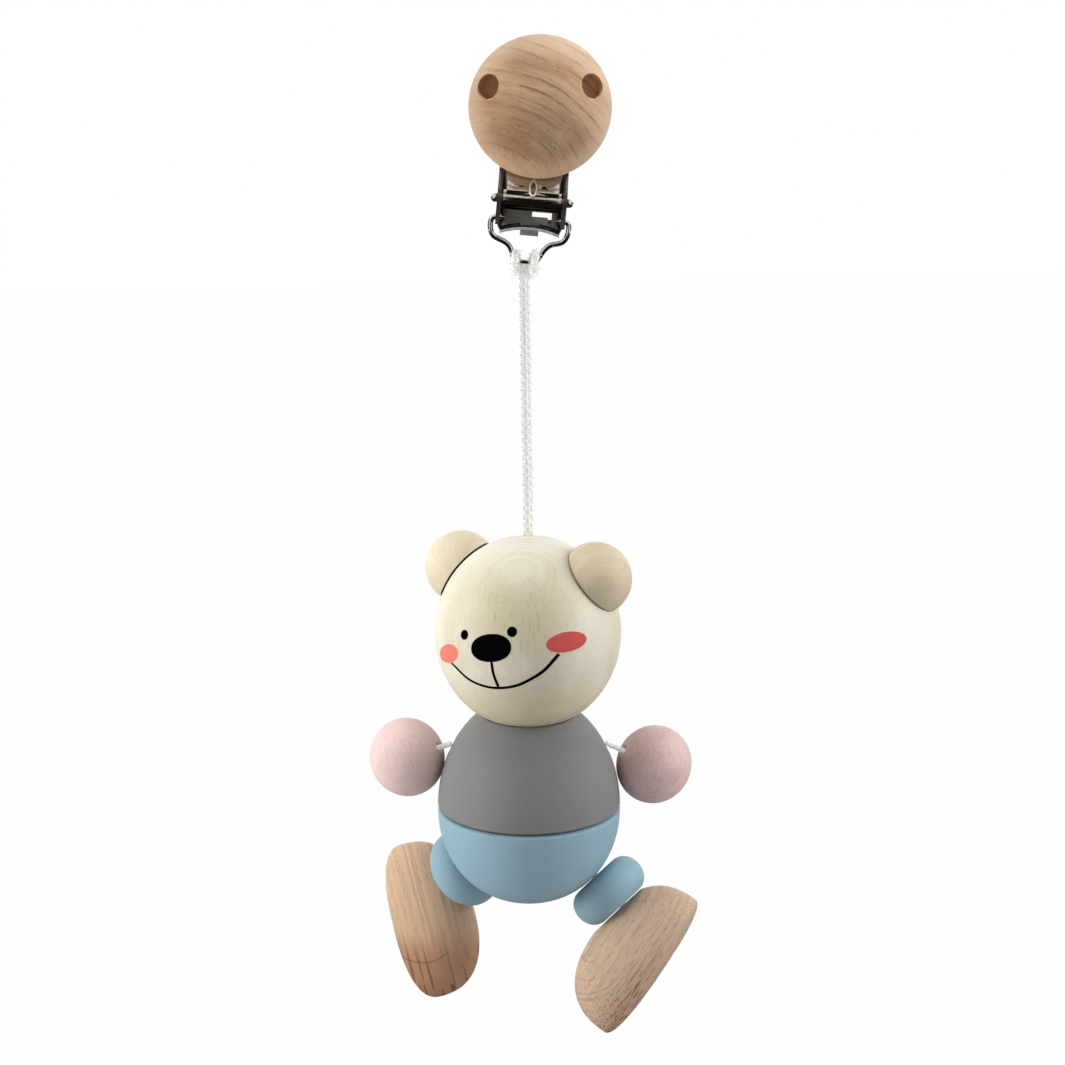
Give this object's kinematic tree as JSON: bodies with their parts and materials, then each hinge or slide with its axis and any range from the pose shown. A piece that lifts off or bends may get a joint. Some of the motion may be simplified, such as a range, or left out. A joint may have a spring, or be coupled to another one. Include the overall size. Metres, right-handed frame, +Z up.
{
  "type": "wooden clip toy",
  "caption": "Turned wooden bear with painted body, bead hands and wooden feet, hanging by a white cord from a metal clip with a wooden disc.",
  "frame": {"origin": "between the teeth of the base plate and the pad of the leaf, where the clip grips; in the middle of its width", "axes": "+Z up along the hanging toy, +X to the viewer's right, -Y towards the viewer; the clip leans 6 degrees about Y, as pictured"},
  "size_m": [0.0693, 0.0532, 0.2112],
  "materials": {
    "arm_cord": "white braid",
    "arm_cord_left": "white braid",
    "arm_cord_right": "white braid",
    "base_plate": "polished nickel plate",
    "body_strand_left": "white braid",
    "body_strand_right": "white braid",
    "cord_hitch": "white braid",
    "disc_screw_lower": "zinc plate",
    "disc_screw_upper": "zinc plate",
    "ear_dowel_left": "natural beech, satin",
    "ear_dowel_right": "natural beech, satin",
    "ear_left": "pale maple, clear satin lacquer",
    "ear_right": "pale maple, clear satin lacquer",
    "end_knot": "white braid",
    "foot_knot_left": "white braid",
    "foot_knot_right": "white braid",
    "foot_left": "natural beech, satin",
    "foot_right": "natural beech, satin",
    "grip_pad": "translucent white plastic",
    "hand_knot_left": "white braid",
    "hand_knot_right": "white braid",
    "hand_left": "matt dusty pink stain",
    "hand_right": "matt dusty pink stain",
    "hanging_strand_left": "white braid",
    "hanging_strand_right": "white braid",
    "head": "pale maple, clear satin lacquer",
    "head_strand_left": "white braid",
    "head_strand_right": "white braid",
    "hinge_pin": "polished nickel plate",
    "hip_elastic": "white braid",
    "jacket": "matt grey paint",
    "jaw_leaf": "polished nickel plate",
    "leg_cord_left": "white braid",
    "leg_cord_right": "white braid",
    "lever_plate": "polished nickel plate",
    "thigh_left": "matt light blue paint",
    "thigh_right": "matt light blue paint",
    "trousers": "matt light blue paint",
    "wire_loop": "polished nickel plate",
    "wooden_disc": "natural beech, satin"
  },
  "bodies": {
    "clip": {"base_plate": "base_plate", "hinge_pin": "hinge_pin"},
    "lever": {"lever_plate": "lever_plate", "wooden_disc": "wooden_disc", "disc_screw_lower": "disc_screw_lower", "disc_screw_upper": "disc_screw_upper"},
    "jaw": {"jaw_leaf": "jaw_leaf", "grip_pad": "grip_pad"},
    "loop": {"wire_loop": "wire_loop", "cord_hitch": "cord_hitch"},
    "cord": {"hanging_strand_left": "hanging_strand_left", "hanging_strand_right": "hanging_strand_right"},
    "head_string": {"head_strand_left": "head_strand_left", "head_strand_right": "head_strand_right"},
    "head": {"head": "head", "ear_left": "ear_left", "ear_right": "ear_right", "ear_dowel_left": "ear_dowel_left", "ear_dowel_right": "ear_dowel_right"},
    "body_string": {"body_strand_left": "body_strand_left", "body_strand_right": "body_strand_right", "end_knot": "end_knot"},
    "jacket": {"jacket": "jacket", "arm_cord": "arm_cord"},
    "left_arm": {"arm_cord_left": "arm_cord_left", "hand_knot_left": "hand_knot_left"},
    "right_arm": {"arm_cord_right": "arm_cord_right", "hand_knot_right": "hand_knot_right"},
    "left_hand": {"hand_left": "hand_left"},
    "right_hand": {"hand_right": "hand_right"},
    "trousers": {"trousers": "trousers", "hip_elastic": "hip_elastic"},
    "left_leg": {"leg_cord_left": "leg_cord_left", "foot_knot_left": "foot_knot_left"},
    "right_leg": {"leg_cord_right": "leg_cord_right", "foot_knot_right": "foot_knot_right"},
    "left_thigh": {"thigh_left": "thigh_left"},
    "right_thigh": {"thigh_right": "thigh_right"},
    "left_foot": {"foot_left": "foot_left"},
    "right_foot": {"foot_right": "foot_right"}
  },
  "joints": [
    {"name": "lever_hinge", "type": "hinge", "parent": "clip", "child": "lever", "pos_m": [-0.00162, -0.0055, -0.01541], "axis": [0.9945, 0, -0.1045], "range_deg": [0, 100]},
    {"name": "jaw_hinge", "type": "hinge", "parent": "clip", "child": "jaw", "pos_m": [-0.00222, -0.0018, -0.02108], "axis": [0.9945, 0, -0.1045], "range_deg": [0, 7.5]},
    {"name": "loop_hinge", "type": "hinge", "parent": "clip", "child": "loop", "pos_m": [-0.00205, -0.0035, -0.01949], "axis": [0.9945, 0, -0.1045], "range_deg": [-90, 38]},
    {"name": "cord_swing", "type": "hinge", "parent": "loop", "child": "cord", "pos_m": [-0.0037, -0.0035, -0.03121], "axis": [0, 1, 0], "range_deg": [-30, 30]},
    {"name": "head_nod", "type": "hinge", "parent": "cord", "child": "head_string", "pos_m": [-0.00392, -0.0035, -0.08596], "axis": [1, 0, 0], "range_deg": [-40, 40]},
    {"name": "head_spin", "type": "hinge", "parent": "head_string", "child": "head", "pos_m": [-0.0043, -0.00711, -0.10562], "axis": [0.0192, 0.1805, 0.9834], "continuous": true},
    {"name": "body_tilt", "type": "hinge", "parent": "head_string", "child": "body_string", "pos_m": [-0.0043, -0.00711, -0.10562], "axis": [1, 0, 0], "range_deg": [-10, 10]},
    {"name": "jacket_spin", "type": "hinge", "parent": "body_string", "child": "jacket", "pos_m": [-0.00491, -0.00219, -0.144], "axis": [0.0157, -0.127, 0.9918], "continuous": true},
    {"name": "trousers_spin", "type": "hinge", "parent": "body_string", "child": "trousers", "pos_m": [-0.00491, -0.00219, -0.144], "axis": [0.0157, -0.127, 0.9918], "continuous": true},
    {"name": "left_arm_lift", "type": "hinge", "parent": "jacket", "child": "left_arm", "pos_m": [-0.02084, -0.0013, -0.13052], "axis": [0, 0.9919, 0.1271], "range_deg": [0, 55]},
    {"name": "right_arm_lift", "type": "hinge", "parent": "jacket", "child": "right_arm", "pos_m": [0.01143, -0.00123, -0.13102], "axis": [0, -0.9919, -0.1271], "range_deg": [0, 65]},
    {"name": "left_hand_spin", "type": "hinge", "parent": "left_arm", "child": "left_hand", "pos_m": [-0.02084, -0.0013, -0.13052], "axis": [-0.8807, 0.3484, -0.321], "continuous": true},
    {"name": "right_hand_spin", "type": "hinge", "parent": "right_arm", "child": "right_hand", "pos_m": [0.01143, -0.00123, -0.13102], "axis": [0.838, 0.2931, -0.4602], "continuous": true},
    {"name": "left_leg_swing", "type": "hinge", "parent": "trousers", "child": "left_leg", "pos_m": [-0.01595, 0.00822, -0.15801], "axis": [-0.6057, -0.7957, 0], "range_deg": [-5, 12], "stiffness_Nm_per_rad": 0.05},
    {"name": "right_leg_swing", "type": "hinge", "parent": "trousers", "child": "right_leg", "pos_m": [0.00857, -0.00131, -0.15962], "axis": [0.259, 0.9659, 0], "range_deg": [-6, 7], "stiffness_Nm_per_rad": 0.05},
    {"name": "left_thigh_spin", "type": "hinge", "parent": "left_leg", "child": "left_thigh", "pos_m": [-0.01595, 0.00822, -0.15801], "axis": [-0.6662, 0.5071, -0.5469], "continuous": true},
    {"name": "left_foot_spin", "type": "hinge", "parent": "left_leg", "child": "left_foot", "pos_m": [-0.01595, 0.00822, -0.15801], "axis": [-0.6662, 0.5071, -0.5469], "continuous": true},
    {"name": "right_thigh_spin", "type": "hinge", "parent": "right_leg", "child": "right_thigh", "pos_m": [0.00857, -0.00131, -0.15962], "axis": [0.6647, -0.1782, -0.7256], "continuous": true},
    {"name": "right_foot_spin", "type": "hinge", "parent": "right_leg", "child": "right_foot", "pos_m": [0.00857, -0.00131, -0.15962], "axis": [0.6647, -0.1782, -0.7256], "continuous": true}
  ],
  "couplings": [
    {"joint": "jaw_hinge", "follows": "lever_hinge", "ratio": 0.074}
  ]
}
